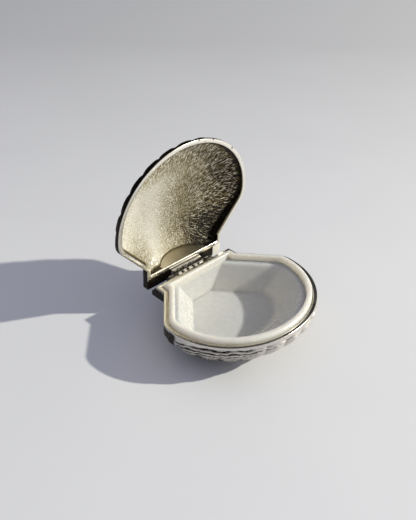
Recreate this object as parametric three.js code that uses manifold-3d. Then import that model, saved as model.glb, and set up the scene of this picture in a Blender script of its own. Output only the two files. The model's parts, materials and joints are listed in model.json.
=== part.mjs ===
// Scallop shell trinket box with its lid standing open: a deep cast metal base, a flatter cast
// lid on a three-knuckle hinge behind the hinge edge, a hinge pin, and a white plastic liner.
// Millimetres, +Z up, the front of the shell toward -Y.
// Origin: centre of the flat spot on the underside.

import * as THREE from 'three';
import { mergeVertices } from 'three/addons/utils/BufferGeometryUtils.js';
import Module from 'manifold-3d';

const wasm = await Module();
wasm.setup();

const { degToRad, clamp, smoothstep, lerp } = THREE.MathUtils;

// Rim outline seen from above: a straight hinge edge at y = 0, a short ear at each end,
// a straight flared side, and an elliptical front edge.
const halfWidth = 36;
const hingeHalf = 21.6;
const earLength = 4.6;
const arcCentreY = -24.8;
const arcDepth = 32.8;
const cornerTurn = degToRad(7.6);

// Base valve
const baseDepth = 17.6;
const baseFullness = 19;
const baseBand = 1.2;
const baseEarHeight = 5.6;
const baseCornerHeight = 4.6;
const baseBackY = 3.4;
const bevelDrop = 3.7;
const baseWall = 1.7;
const rimWidth = 1.7;
const shoulderDepth = 2.2;
const shoulderWidth = 3.1;

// Lid valve
const lidHeight = 12.6;
const lidBand = 1.2;
const lidEarHeight = 3.2;
const lidCornerHeight = 2.8;
const lidBackY = 5.2;
const lidWall = 1.1;
const lidRimWidth = 1.8;
const lidOpenAngle = degToRad(88);

// Ribs of both valves, fanning out from the umbo
const ribCount = 13;
const umboY = 2.9;
const ribHeight = 0.75;
const ribRoundness = 0.97;
const facesPerRib = 6;
const growthStep = 0.3;
const growthPitch = 0.075;

// Flat spot on the underside
const footCentreY = -19;
const footHalfWidth = 13;
const footHalfLength = 12.5;

// Hinge
const hingeY = 2.95;
const hingeZ = -2.8;
const barrelRadius = 1.6;
const boreRadius = 1.1;
const pinRadius = 0.75;
const lidBarrelHalf = 8.5;
const lugWidth = 3.5;
const hingeGap = 0.4;
const webSink = 0.6;
const knuckleSides = 16;
const pinSides = 12;

// Liner
const linerTop = 2;
const lipRound = 0.45;
const lipOuter = 2.3;
const lipInner = 4.4;
const ledgeZ = -1.2;
const wellHinge = 4.7;
const wellSide = 6.6;
const flangeZ = -1.9;
const linerWall = 1.1;
const floorZ = -13.1;
const floorHinge = 5;
const floorSide = 12.3;
const floorFlank = 15.6;
const floorFront = 19.4;

// Points of the rim outline
const corner = new THREE.Vector2(
  halfWidth * Math.cos(cornerTurn),
  arcCentreY + arcDepth * Math.sin(cornerTurn)
);
const neck = new THREE.Vector2(hingeHalf, -earLength);
const flare = corner.clone().sub(neck).normalize();
const flareOut = new THREE.Vector2(-flare.y, flare.x);
const flareReach = flareOut.dot(neck);
const fanHalf = Math.atan2(corner.x, umboY - corner.y);
const ribPitch = (2 * fanHalf) / ribCount;
const cornerRun = (corner.y - (arcCentreY - arcDepth)) / 2;

// A point well inside every outline, and how far a cut runs past the face it opens
const midY = -22;
const past = 1;

// Solids and cuts

const toSolid = (geometry) => {
  const bare = geometry.clone();
  bare.deleteAttribute('normal');
  bare.deleteAttribute('uv');
  const merged = mergeVertices(bare, 1e-4);
  return new wasm.Manifold(new wasm.Mesh({
    numProp: 3,
    vertProperties: new Float32Array(merged.attributes.position.array),
    triVerts: new Uint32Array(merged.index.array)
  }));
};

const toGeometry = (solid) => {
  const data = solid.getMesh();
  const geometry = new THREE.BufferGeometry();
  geometry.setAttribute('position', new THREE.BufferAttribute(data.vertProperties.slice(), 3));
  geometry.setIndex(new THREE.BufferAttribute(data.triVerts.slice(), 1));
  geometry.computeVertexNormals();
  return geometry;
};

const signedVolume = (points, faces) => faces.reduce((sum, [a, b, c]) => {
  const cross = points[b].clone().cross(points[c]);
  return sum + points[a].dot(cross) / 6;
}, 0);

const meshFromFaces = (points, faces) => {
  const outward = signedVolume(points, faces) > 0;
  const order = outward ? faces : faces.map(([a, b, c]) => [a, c, b]);
  const geometry = new THREE.BufferGeometry().setFromPoints(points);
  geometry.setIndex(order.flat());
  return geometry;
};

// Skins closed rings of equal point count, with a fan from a tip at each end
const loft = (rings, firstTip, lastTip) => {
  const count = rings[0].length;
  const points = [...rings.flat(), firstTip, lastTip];
  const first = points.length - 2;
  const last = points.length - 1;
  const top = (rings.length - 1) * count;
  const faces = [];
  for (let i = 0; i < count; i++) {
    const j = (i + 1) % count;
    for (let k = 0; k < rings.length - 1; k++) {
      const low = k * count;
      const high = low + count;
      faces.push([low + i, low + j, high + j], [low + i, high + j, high + i]);
    }
    faces.push([first, j, i], [last, top + i, top + j]);
  }
  return meshFromFaces(points, faces);
};

const rodAlongX = (radius, x0, x1, sides) => {
  const rod = new THREE.CylinderGeometry(radius, radius, x1 - x0, sides);
  rod.rotateZ(Math.PI / 2);
  rod.translate((x0 + x1) / 2, hingeY, hingeZ);
  return rod;
};

// A prism along X whose section is a list of [y, z] points
const prismAlongX = (section, x0, x1) => {
  const shape = new THREE.Shape(section.map(([y, z]) => new THREE.Vector2(y, z)));
  const prism = new THREE.ExtrudeGeometry(shape, { depth: x1 - x0, bevelEnabled: false });
  prism.applyMatrix4(new THREE.Matrix4().makeBasis(
    new THREE.Vector3(0, 1, 0), new THREE.Vector3(0, 0, 1), new THREE.Vector3(1, 0, 0)
  ));
  prism.translate(x0, 0, 0);
  return prism;
};

// Outlines

// Right half of the rim outline drawn in by the given insets, from the back middle to the
// front middle. The flank is the widest place of the front curve, and has the front's inset
// unless it is given. Without an ear the side runs straight on to the hinge edge.
const halfOutline = ({ hinge, side, front, flank = front, eared = true, arcTurns }) => {
  const reach = flareReach - side;
  const back = -hinge;
  const earX = hingeHalf - side;
  const earY = (reach - flareOut.x * earX) / flareOut.y;
  const shortestEar = 0.5;
  const backCorner = eared
    ? new THREE.Vector2(earX, back)
    : new THREE.Vector2((reach - flareOut.y * back) / flareOut.x, back);
  const neckPoint = eared
    ? new THREE.Vector2(earX, earY)
    : backCorner.clone().addScaledVector(flare, shortestEar);
  const across = halfWidth - flank;
  const along = arcDepth - front;
  const a = flareOut.x * across;
  const b = flareOut.y * along;
  const turn0 = Math.atan2(b, a)
    - Math.acos(clamp((reach - flareOut.y * arcCentreY) / Math.hypot(a, b), -1, 1));
  const arc = arcTurns(turn0).map((turn) => new THREE.Vector2(
    across * Math.cos(turn), arcCentreY + along * Math.sin(turn)
  ));
  return { backCorner, neckPoint, arc };
};

const between = (a, b, steps) => Array.from(
  { length: steps }, (_, i) => a.clone().lerp(b, i / steps)
);

// A closed ring at height z, clockwise seen from above
const ringAt = (insets, z, { backSteps = 3, earSteps = 1, sideSteps = 4, arcSteps = 12 } = {}) => {
  const arcTurns = (turn0) => Array.from(
    { length: arcSteps + 1 }, (_, i) => lerp(turn0, -Math.PI / 2, i / arcSteps)
  );
  const { backCorner, neckPoint, arc } = halfOutline({ ...insets, arcTurns });
  const half = [
    ...between(new THREE.Vector2(0, backCorner.y), backCorner, backSteps),
    ...between(backCorner, neckPoint, earSteps),
    ...between(neckPoint, arc[0], sideSteps),
    ...arc
  ];
  const mirrored = half.slice(1, -1).reverse().map((p) => new THREE.Vector2(-p.x, p.y));
  return [...half, ...mirrored].map((p) => new THREE.Vector3(p.x, p.y, z));
};

// The valves as heights over the rim plane

const fanAngle = (x, y) => Math.atan2(x, umboY - y);

// Distance from the umbo to the front edge, along a ray of the fan
const frontReach = (angle) => {
  const sx = Math.sin(angle) / halfWidth;
  const sy = -Math.cos(angle) / arcDepth;
  const oy = (umboY - arcCentreY) / arcDepth;
  const a = sx * sx + sy * sy;
  const b = oy * sy;
  const c = oy * oy - 1;
  return (-b + Math.sqrt(b * b - a * c)) / a;
};

const insideRim = (x, y, backY) => {
  const ax = Math.abs(x);
  if (y > backY) return false;
  if (y > -earLength) return ax <= hingeHalf;
  if (y > corner.y) return flareOut.x * ax + flareOut.y * y <= flareReach;
  return (ax / halfWidth) ** 2 + ((y - arcCentreY) / arcDepth) ** 2 <= 1;
};

// Rises from 0 at the edge to 1 once the inset reaches the given width
const shoulder = (inset, { width, power, root }) => {
  const left = 1 - clamp(inset / width, 0, 1);
  return (1 - left ** power) ** (1 / root);
};

// One valve without ribs: a dome drawn up from the front, the flared sides and the back,
// standing on an edge that is highest at the ears and lowest along the front
const makeValve = ({ crown, limit, band, earHeight, cornerHeight, backY, peak, front, sides,
  back }) => (x, y) => {
  const angle = clamp(fanAngle(x, y), -fanHalf, fanHalf);
  const along = Math.min(1, Math.hypot(x, umboY - y) / frontReach(angle));
  const frontShare = shoulder(1 - along, { ...front, width: 1 - peak });
  const sideInset = flareReach - flareOut.x * Math.abs(x) - flareOut.y * y;
  const rise = frontShare * shoulder(sideInset, sides) * shoulder(backY - y, back);
  const earShare = clamp((y - corner.y) / (neck.y - corner.y), 0, 1);
  const bandShare = clamp((corner.y - y) / cornerRun, 0, 1);
  const edge = lerp(lerp(cornerHeight, earHeight, earShare), band, bandShare);
  return Math.min(limit, edge + (crown - edge) * rise);
};

const baseHeightAt = makeValve({
  crown: baseFullness, limit: baseDepth, band: baseBand, earHeight: baseEarHeight,
  cornerHeight: baseCornerHeight, backY: baseBackY, peak: 0.38,
  front: { power: 2.1, root: 2 },
  sides: { width: 21, power: 2.2, root: 2 },
  back: { width: 13, power: 2.2, root: 2.2 }
});

const lidHeightAt = makeValve({
  crown: lidHeight, limit: lidHeight, band: lidBand, earHeight: lidEarHeight,
  cornerHeight: lidCornerHeight, backY: lidBackY, peak: 0.4,
  front: { power: 2.1, root: 1.25 },
  sides: { width: 23, power: 2, root: 1.25 },
  back: { width: 17, power: 2, root: 1.5 }
});

// Relief over the smooth valve: round ribs with narrow valleys, and growth steps near the rim.
// The phase counts ribs across the fan, with a whole number on the crest of each.
const reliefAt = (phase, along, x, y, foot) => {
  if (phase === null) return 0;
  const offCentre = 2 * Math.abs(phase - Math.round(phase));
  const round = Math.sqrt(Math.max(0, 1 - (ribRoundness * offCentre) ** 2));
  const sideInset = flareReach - flareOut.x * Math.abs(x) - flareOut.y * y;
  const fromUmbo = smoothstep(along, 0.04, 0.75);
  const fromRim = 1 - smoothstep(along, 0.985, 1);
  const fromSide = smoothstep(sideInset, 0, 3);
  const growth = growthStep * smoothstep(along, 0.6, 0.8)
    * Math.cos(2 * Math.PI * along / growthPitch);
  const fromFoot = foot
    ? smoothstep(Math.hypot(x / footHalfWidth, (y - footCentreY) / footHalfLength), 0.95, 1.25)
    : 1;
  const meanRound = 0.45;
  return fromUmbo * fromRim * fromSide * fromFoot * (ribHeight * (round - meanRound) + growth);
};

// Outside of a valve as a closed solid standing up from the rim plane, with its mesh lines
// running along the ribs from the umbo
const rowShares = [
  0.07, 0.15, 0.24, 0.34, 0.45, 0.56, 0.66, 0.74, 0.81, 0.8625, 0.9, 0.9375, 0.97, 0.99
];

const valveSolid = (heightAt, backY, foot) => {
  const umbo = new THREE.Vector2(0, umboY);
  const half = ribCount * facesPerRib / 2;
  const rays = Array.from({ length: half + 1 }, (_, i) => fanHalf * (1 - i / half));
  const arc = rays.map((angle) => {
    const reach = frontReach(angle);
    return new THREE.Vector2(reach * Math.sin(angle), umboY - reach * Math.cos(angle));
  });
  const backCorner = new THREE.Vector2(hingeHalf, backY);
  const side = [
    ...between(new THREE.Vector2(0, backY), backCorner, 5),
    ...between(backCorner, neck, 2),
    ...between(neck, corner, 4)
  ].map((p) => ({ p, phase: null }));
  side.push(...arc.map((p, i) => ({ p, phase: rays[i] / ribPitch })));
  const mirror = ({ p, phase }) => ({
    p: new THREE.Vector2(-p.x, p.y), phase: phase === null ? null : -phase
  });
  const rim = [...side, ...side.slice(1, -1).reverse().map(mirror)];
  const slopeStep = 0.05;
  const steepest = 3;
  const thinnestEdge = 0.5;
  const surfacePoint = ({ p: edgePoint, phase }, share) => {
    const p = umbo.clone().lerp(edgePoint, share);
    const height = heightAt(p.x, p.y);
    const slope = new THREE.Vector2(
      (heightAt(p.x + slopeStep, p.y) - heightAt(p.x - slopeStep, p.y)) / (2 * slopeStep),
      (heightAt(p.x, p.y + slopeStep) - heightAt(p.x, p.y - slopeStep)) / (2 * slopeStep)
    );
    slope.clampLength(0, steepest);
    const out = new THREE.Vector3(-slope.x, -slope.y, 1).normalize();
    const point = new THREE.Vector3(p.x, p.y, height);
    point.addScaledVector(out, reliefAt(phase, share, p.x, p.y, foot));
    point.z = Math.min(point.z, foot ? baseDepth : Infinity);
    return point;
  };
  const rows = rowShares.map((share) => rim.map((ray) => surfacePoint(ray, share)));
  const edgeRow = rim.map(({ p }) => {
    const inner = umbo.clone().lerp(p, 1 - 1e-4);
    return new THREE.Vector3(p.x, p.y, Math.max(heightAt(inner.x, inner.y), thinnestEdge));
  });
  const rimRow = rim.map(({ p }) => new THREE.Vector3(p.x, p.y, 0));
  const peak = new THREE.Vector3(0, umboY, heightAt(0, umboY));
  return toSolid(loft([...rows, edgeRow, rimRow], peak, new THREE.Vector3(0, umboY, 0)));
};

// Hollow of a valve: the smooth dome drawn in by the wall all round, over a given outline.
// The wall is true in every direction because a ball of its radius is rolled under the dome.
const hollowSolid = (heightAt, insets, wall, backY, under) => {
  const outline = ringAt(insets, 0, { backSteps: 3, sideSteps: 3, arcSteps: 11 });
  const probes = [[0, 0]];
  const probeTurns = 16;
  for (const share of [0.35, 0.7, 0.97]) {
    for (let i = 0; i < probeTurns; i++) {
      const turn = 2 * Math.PI * i / probeTurns;
      probes.push([share * wall * Math.cos(turn), share * wall * Math.sin(turn)]);
    }
  }
  const drawnIn = (x, y) => Math.min(...probes.map(([dx, dy]) => {
    const outside = insideRim(x + dx, y + dy, backY) ? heightAt(x + dx, y + dy) : 0;
    return outside - Math.sqrt(wall * wall - dx * dx - dy * dy);
  }));
  const lowest = under + 0.2;
  const rows = [1, 0.97, 0.92, 0.85, 0.74, 0.58, 0.36].map((share) => outline.map((p) => {
    const x = p.x * share;
    const y = lerp(midY, p.y, share);
    return new THREE.Vector3(x, y, Math.max(lowest, drawnIn(x, y)));
  }));
  const mouth = outline.map((p) => new THREE.Vector3(p.x, p.y, -past));
  const top = new THREE.Vector3(0, midY, drawnIn(0, midY));
  return toSolid(loft([mouth, ...rows], new THREE.Vector3(0, midY, -past), top));
};

const even = (inset) => ({ hinge: inset, side: inset, front: inset });
const bore = toSolid(rodAlongX(boreRadius, -hingeHalf, hingeHalf, pinSides));

// Base: built dome up, then turned over
const makeBase = () => {
  const turnOver = new THREE.Matrix4().makeScale(1, 1, -1);
  const flipped = (solid) => {
    const geometry = toGeometry(solid);
    geometry.applyMatrix4(turnOver);
    geometry.index.array.reverse();
    return toSolid(geometry);
  };
  const recess = toSolid(loft(
    [ringAt(even(rimWidth), -past), ringAt(even(rimWidth), shoulderDepth)],
    new THREE.Vector3(0, midY, -past), new THREE.Vector3(0, midY, shoulderDepth)
  ));
  const hollow = hollowSolid(baseHeightAt, even(shoulderWidth), baseWall, baseBackY, shoulderDepth);
  const bowl = flipped(valveSolid(baseHeightAt, baseBackY, true).subtract(hollow).subtract(recess));
  const bevelSlope = bevelDrop / baseBackY;
  const bevelCut = toSolid(prismAlongX(
    [[-past, past * bevelSlope], [baseBackY + past, past * bevelSlope],
      [baseBackY + past, -bevelSlope * (baseBackY + past)]],
    -halfWidth, halfWidth
  ));
  const swingRadius = barrelRadius + hingeGap;
  const lugFrom = lidBarrelHalf + hingeGap;
  const barrelRoom = toSolid(rodAlongX(swingRadius, -lugFrom, lugFrom, knuckleSides));
  const armRoom = toSolid(prismAlongX(
    [[hingeY - swingRadius, hingeZ], [hingeY + swingRadius, hingeZ],
      [hingeY + swingRadius, past], [hingeY - swingRadius, past]],
    -lugFrom, lugFrom
  ));
  let solid = bowl.subtract(bevelCut);
  for (const side of [-1, 1]) {
    const x0 = side > 0 ? lugFrom : -lugFrom - lugWidth;
    const lug = toSolid(rodAlongX(barrelRadius, x0, x0 + lugWidth, knuckleSides));
    const web = toSolid(prismAlongX(
      [[0, -webSink], [hingeY, hingeZ + barrelRadius], [hingeY, hingeZ - barrelRadius],
        [-webSink, hingeZ - barrelRadius]],
      x0, x0 + lugWidth
    ));
    solid = solid.add(lug).add(web);
  }
  return solid.subtract(barrelRoom).subtract(armRoom).subtract(bore);
};

// Lid, in its closed place; the pivot group stands it open
const makeLid = () => {
  const hollow = hollowSolid(lidHeightAt, even(lidRimWidth), lidWall, lidBackY, 0);
  const dome = valveSolid(lidHeightAt, lidBackY, false).subtract(hollow);
  const barrel = toSolid(
    rodAlongX(barrelRadius, -lidBarrelHalf, lidBarrelHalf, knuckleSides)
  );
  const arm = toSolid(prismAlongX(
    [[webSink, webSink], [hingeY - barrelRadius, hingeZ], [hingeY + barrelRadius, hingeZ],
      [lidBackY - webSink, webSink]],
    -lidBarrelHalf, lidBarrelHalf
  ));
  return dome.add(arm).add(barrel).subtract(bore);
};

// Liner: a raised lip, a ledge inside it, and a well with sloping walls
const makeLiner = () => {
  const well = { hinge: wellHinge, side: wellSide, front: wellSide, eared: false };
  const floor = {
    hinge: floorHinge, side: floorSide, flank: floorFlank, front: floorFront, eared: false
  };
  const outer = ({ hinge, side, front, flank = front }) => ({
    hinge: hinge - linerWall,
    side: side - linerWall,
    flank: flank - linerWall,
    front: front - linerWall,
    eared: false
  });
  const rings = [
    ringAt(outer(floor), floorZ - linerWall),
    ringAt(outer(well), flangeZ),
    ringAt(even(lipOuter), flangeZ),
    ringAt(even(lipOuter), linerTop - lipRound),
    ringAt(even(lipOuter + lipRound), linerTop),
    ringAt(even(lipInner - lipRound), linerTop),
    ringAt(even(lipInner), linerTop - lipRound),
    ringAt(even(lipInner), ledgeZ),
    ringAt(well, ledgeZ),
    ringAt(floor, floorZ)
  ];
  return toSolid(loft(rings,
    new THREE.Vector3(0, midY, floorZ - linerWall), new THREE.Vector3(0, midY, floorZ)));
};

// Materials
const silverPlate = () => new THREE.MeshStandardMaterial({
  color: 0xc9c0b2, roughness: 0.36, metalness: 0.9
});
const whitePlastic = new THREE.MeshStandardMaterial({
  color: 0xe9e6df, roughness: 0.35, metalness: 0
});

const named = (name, geometry, material) => {
  const mesh = new THREE.Mesh(geometry, material);
  mesh.name = name;
  return mesh;
};

const box = new THREE.Group();

// Everything below is placed from the middle of the base's hinge edge
const rimFrame = new THREE.Group();
rimFrame.position.set(0, -footCentreY, baseDepth);
box.add(rimFrame);

rimFrame.add(named('base_shell', toGeometry(makeBase()), silverPlate()));
rimFrame.add(named('liner', toGeometry(makeLiner()), whitePlastic));

const pinHalf = lidBarrelHalf + hingeGap + lugWidth;
rimFrame.add(named('hinge_pin',
  rodAlongX(pinRadius, -pinHalf, pinHalf, pinSides), silverPlate()));

const lidPivot = new THREE.Group();
lidPivot.position.set(0, hingeY, hingeZ);
lidPivot.rotation.x = -lidOpenAngle;
rimFrame.add(lidPivot);

const lid = named('lid_shell', toGeometry(makeLid()), silverPlate());
lid.position.set(0, -hingeY, -hingeZ);
lidPivot.add(lid);

export default box;
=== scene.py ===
"""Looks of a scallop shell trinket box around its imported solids.

Two cast and plated valves, ribbed and ridged outside, joined by a three-knuckle hinge, with a
glossy white plastic liner in the base. Lengths are in metres, in the frame of the solids.
"""

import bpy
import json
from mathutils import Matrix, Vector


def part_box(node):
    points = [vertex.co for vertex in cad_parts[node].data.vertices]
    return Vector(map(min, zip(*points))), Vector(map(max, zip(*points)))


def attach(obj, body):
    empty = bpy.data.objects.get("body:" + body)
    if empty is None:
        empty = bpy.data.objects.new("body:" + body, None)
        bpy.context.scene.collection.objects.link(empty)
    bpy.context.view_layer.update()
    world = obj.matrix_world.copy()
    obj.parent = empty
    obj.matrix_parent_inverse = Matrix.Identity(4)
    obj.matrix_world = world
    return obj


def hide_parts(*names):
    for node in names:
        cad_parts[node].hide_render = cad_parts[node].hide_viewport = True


bl_info = {
    "name": "Shell Trinket Box",
    "version": (1, 0, 0),
    "blender": (4, 5, 0),
    "location": "View3D > Sidebar > Shell Box",
    "description": "Builds the visible surfaces of a hinged scallop shell box over its solids",
    "category": "Object",
}

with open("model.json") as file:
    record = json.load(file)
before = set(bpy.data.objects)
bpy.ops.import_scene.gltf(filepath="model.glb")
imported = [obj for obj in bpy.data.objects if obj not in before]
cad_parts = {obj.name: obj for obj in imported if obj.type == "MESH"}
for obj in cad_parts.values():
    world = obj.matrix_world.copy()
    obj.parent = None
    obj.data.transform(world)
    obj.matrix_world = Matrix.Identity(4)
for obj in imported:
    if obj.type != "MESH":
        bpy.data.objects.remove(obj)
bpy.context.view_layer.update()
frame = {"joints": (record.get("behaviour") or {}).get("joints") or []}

import json
import math
from types import SimpleNamespace

import bmesh
import bpy
import numpy as np
from bpy.props import FloatProperty, FloatVectorProperty, IntProperty, PointerProperty
from mathutils import Matrix, Vector, noise

MM = 0.001

# Places read from the solids
hinge_joint = frame["joints"][0]
HINGE_POINT = Vector(hinge_joint["pos_m"])
OPEN_ANGLE = math.radians(-hinge_joint["range_deg"][0])
base_low, base_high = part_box("base_shell")
HALF_WIDTH = base_high.x
RIM_Z = base_high.z

# Rim outline seen from above, with y = 0 on the hinge edge and -y toward the front
HINGE_Y = 2.95 * MM
HINGE_Z = HINGE_POINT.z - RIM_Z
HINGE_EDGE_Y = HINGE_POINT.y - HINGE_Y
HINGE_HALF = 21.6 * MM
EAR_LENGTH = 4.6 * MM
ARC_CENTRE_Y = -24.8 * MM
ARC_DEPTH = HINGE_EDGE_Y - base_low.y + ARC_CENTRE_Y
CORNER_TURN = math.radians(7.6)
UMBO_Y = 2.9 * MM
MID_Y = -22 * MM
TO_OBJECT = Matrix.Translation((0, HINGE_EDGE_Y, RIM_Z))

NECK = np.array([HINGE_HALF, -EAR_LENGTH])
CORNER = np.array([
    HALF_WIDTH * math.cos(CORNER_TURN),
    ARC_CENTRE_Y + ARC_DEPTH * math.sin(CORNER_TURN),
])
FLARE = (CORNER - NECK) / np.linalg.norm(CORNER - NECK)
FLARE_OUT = np.array([-FLARE[1], FLARE[0]])
FLARE_REACH = float(FLARE_OUT @ NECK)
FAN_HALF = math.atan2(CORNER[0], UMBO_Y - CORNER[1])

# Hinge
BARREL_RADIUS = 1.6 * MM
BORE_RADIUS = 1.1 * MM
PIN_RADIUS = 0.75 * MM
LID_BARREL_HALF = 8.5 * MM
LUG_WIDTH = 3.5 * MM
HINGE_GAP = 0.4 * MM
LUG_FROM = LID_BARREL_HALF + HINGE_GAP
ARM_INSET = 0.02 * MM       # how much narrower an arm is than its barrel, at each end
ARM_SINK = 0.6 * MM         # how deep an arm reaches into the rim
ARM_ROUNDING = 0.1 * MM
PAST = 1 * MM               # how far a cutter stands out past what it cuts

# The two valves as heights over the rim plane
BASE = SimpleNamespace(
    crown=19 * MM, limit=RIM_Z, band=1.2 * MM, ear=5.6 * MM, corner=4.6 * MM,
    back_y=3.4 * MM, peak=0.38, front=(2.1, 2.0), sides=(21 * MM, 2.2, 2.0),
    back=(13 * MM, 2.2, 2.2), wall=1.7 * MM, rim=1.7 * MM, foot=True,
    rib_ease=2.4 * MM, rib_gain=1.45, row_step=0.2 * MM,
)
LID = SimpleNamespace(
    crown=12.6 * MM, limit=12.6 * MM, band=1.2 * MM, ear=3.2 * MM, corner=2.8 * MM,
    back_y=5.2 * MM, peak=0.4, front=(2.1, 1.25), sides=(23 * MM, 2.0, 1.25),
    back=(17 * MM, 2.0, 1.5), wall=1.1 * MM, rim=1.8 * MM, foot=False,
    rib_ease=1.5 * MM, rib_gain=1.0, row_step=0.27 * MM,
)

# Flat spot under the base
FOOT_Y = -HINGE_EDGE_Y
FOOT_HALF_WIDTH = 13 * MM
FOOT_HALF_LENGTH = 12.5 * MM

# Rims and hollows
BEVEL_DROP = 3.7 * MM
RIM_SPECKS = (            # dark pits on the front of the lid's rim
    (5.8 * MM, -57.1 * MM),
    (14.0 * MM, -54.9 * MM),
    (25.4 * MM, -47.3 * MM),
)
ARCH_HALF = 14 * MM         # half the width of the plain wall at the hinge, inside the lid
SHELF_DEPTH = 2.2 * MM
SHELF_INSET = 3.1 * MM


# Settings

def length_setting(name, text, value):
    return FloatProperty(name=name, description=text, default=value, unit="LENGTH", precision=5)


def colour_setting(name, text, value):
    return FloatVectorProperty(
        name=name, description=text, default=value, subtype="COLOR", min=0, max=1)


class ShellSizes(bpy.types.PropertyGroup):
    """Sizes of the carving and the castings"""

    rib_count: IntProperty(name="Ribs", description="Ribs across each valve", default=13)
    rib_height: length_setting("Rib height", "Crest of a rib over its valley", 0.85 * MM)
    ridge_pitch: length_setting(
        "Ridge pitch", "Distance between growth ridges below the rim", 1.75 * MM)
    ridge_depth: length_setting(
        "Ridge depth", "Depth of the groove between growth ridges", 0.4 * MM)
    rim_rounding: length_setting(
        "Rim rounding", "Radius of the edges of the polished rims", 0.25 * MM)
    corner_rounding: length_setting(
        "Corner rounding", "Radius of the shell's side corners seen from above", 2.4 * MM)


class ShellColours(bpy.types.PropertyGroup):
    """Colours of the finishes"""

    plate: colour_setting("Plate", "Warm silver plate", (0.82, 0.785, 0.71))
    worn: colour_setting("Worn plate", "Duller plate of the carved outsides", (0.70, 0.665, 0.63))
    brushed: colour_setting("Brushed plate", "Clean plate inside the lid", (0.95, 0.92, 0.85))
    # Painted light: the pale right end of the lid's back strip.
    cast: colour_setting(
        "Rough cast", "Pale casting at one end of the lid's back strip", (0.93, 0.89, 0.78))
    # The patina colour is also used for painted shade: the left side, the ears, the lid's edge and
    # the strip behind the hinge.
    patina: colour_setting("Patina", "Dark tarnish in the valleys", (0.035, 0.028, 0.020))
    gilt: colour_setting("Gilt", "Yellow tarnish on the lid's plain wall", (0.50, 0.40, 0.20))
    plastic: colour_setting("Liner", "White plastic of the liner", (0.79, 0.745, 0.655))
    floor: colour_setting("Floor", "Pale floor", (0.80, 0.80, 0.80))


class StageSettings(bpy.types.PropertyGroup):
    """Camera and lights"""

    lens: FloatProperty(
        name="Focal length", description="On a 36 mm tall picture", default=47.49)
    key_energy: FloatProperty(
        name="Key light", description="Low light from the front right", default=43,
        unit="POWER")
    key_colour: colour_setting("Key colour", "Slightly yellow", (1.0, 0.985, 0.875))
    dome: colour_setting(
        "Dome", "Soft cool light from all round, as dull surfaces receive it", (0.37, 0.38, 0.46))
    surround: colour_setting(
        "Surround", "Dark room that the metal mirrors", (0.022, 0.023, 0.028))
    backdrop: colour_setting("Backdrop", "What shows behind the floor", (0.62, 0.62, 0.65))


# Outlines

def smooth_step(value, low, high):
    t = np.clip((value - low) / (high - low), 0, 1)
    return t * t * (3 - 2 * t)


def line(a, b, steps):
    """Points from a up to, but not including, b."""
    share = np.arange(steps)[:, None] / steps
    return a + (b - a) * share


def fillet(before, corner, after, steps):
    """A rounded corner from before up to, but not including, after."""
    t = np.arange(steps)[:, None] / steps
    return (1 - t) ** 2 * before + 2 * t * (1 - t) * corner + t ** 2 * after


def toward(start, end, distance):
    """The point at a distance from start toward end, at most nearly half way."""
    nearly_half = 0.45
    length = np.linalg.norm(end - start)
    return start + (end - start) * min(distance / length, nearly_half)


BACK_STEPS = 26
EAR_STEPS = 8
SIDE_STEPS = 34
FILLET_STEPS = 8
STEPS_PER_RIB = 20
ARC_FROM = 0.945        # share of the half fan at which the front curve leaves the corner


def front_reach(angle):
    """Distance from the umbo to the front edge along a ray of the fan."""
    sx = np.sin(angle) / HALF_WIDTH
    sy = -np.cos(angle) / ARC_DEPTH
    oy = (UMBO_Y - ARC_CENTRE_Y) / ARC_DEPTH
    a = sx * sx + sy * sy
    b = oy * sy
    c = oy * oy - 1
    return (-b + np.sqrt(b * b - a * c)) / a


def arc_shares():
    """Shares of the front curve's turn, placed so that the points fall on rays of the fan."""
    ribs = bpy.context.scene.shell_sizes.rib_count
    count = int(ribs * STEPS_PER_RIB / 2 * ARC_FROM)
    angles = np.linspace(FAN_HALF * ARC_FROM, 0, count + 1)
    reach = front_reach(angles)
    turn = np.arctan2(
        (UMBO_Y - reach * np.cos(angles) - ARC_CENTRE_Y) / ARC_DEPTH,
        reach * np.sin(angles) / HALF_WIDTH,
    )
    start = CORNER_TURN
    return (turn - start) / (-math.pi / 2 - start)


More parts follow.
